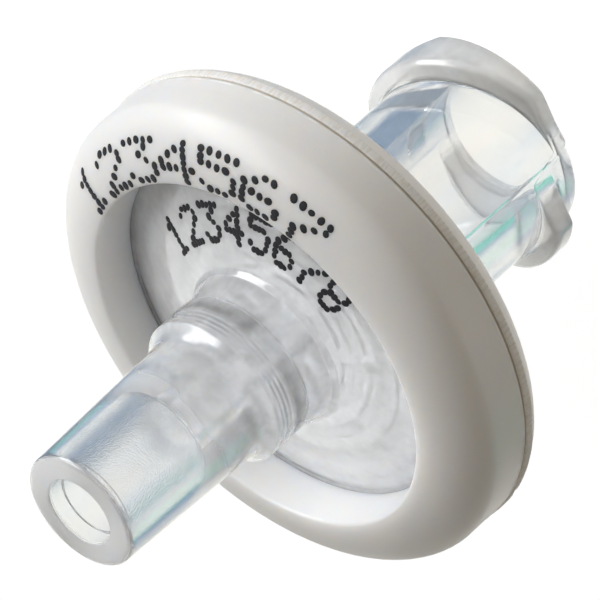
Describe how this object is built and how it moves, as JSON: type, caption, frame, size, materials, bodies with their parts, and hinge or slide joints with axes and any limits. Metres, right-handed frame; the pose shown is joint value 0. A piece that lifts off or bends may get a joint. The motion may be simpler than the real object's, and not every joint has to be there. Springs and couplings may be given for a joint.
{
  "type": "syringe filter",
  "caption": "Small disposable syringe filter: luer-lock inlet, clear plates either side of a membrane, white moulded ring, luer-slip outlet.",
  "frame": {"origin": "centre of the flat end face of the luer-lock inlet, on which the filter stands", "axes": "+Z along the filter's axis, from the luer-lock inlet to the luer-slip outlet"},
  "size_m": [0.0168, 0.0168, 0.0196],
  "materials": {
    "clear_plastic": "natural polypropylene, clear to slightly milky, glossy",
    "membrane": "matte white filter membrane",
    "white_plastic": "white moulded polypropylene, semi-gloss"
  },
  "bodies": {
    "root": {"inlet_housing": "clear_plastic", "membrane": "membrane", "outlet_housing": "clear_plastic", "overmould_ring": "white_plastic"}
  },
  "joints": []
}
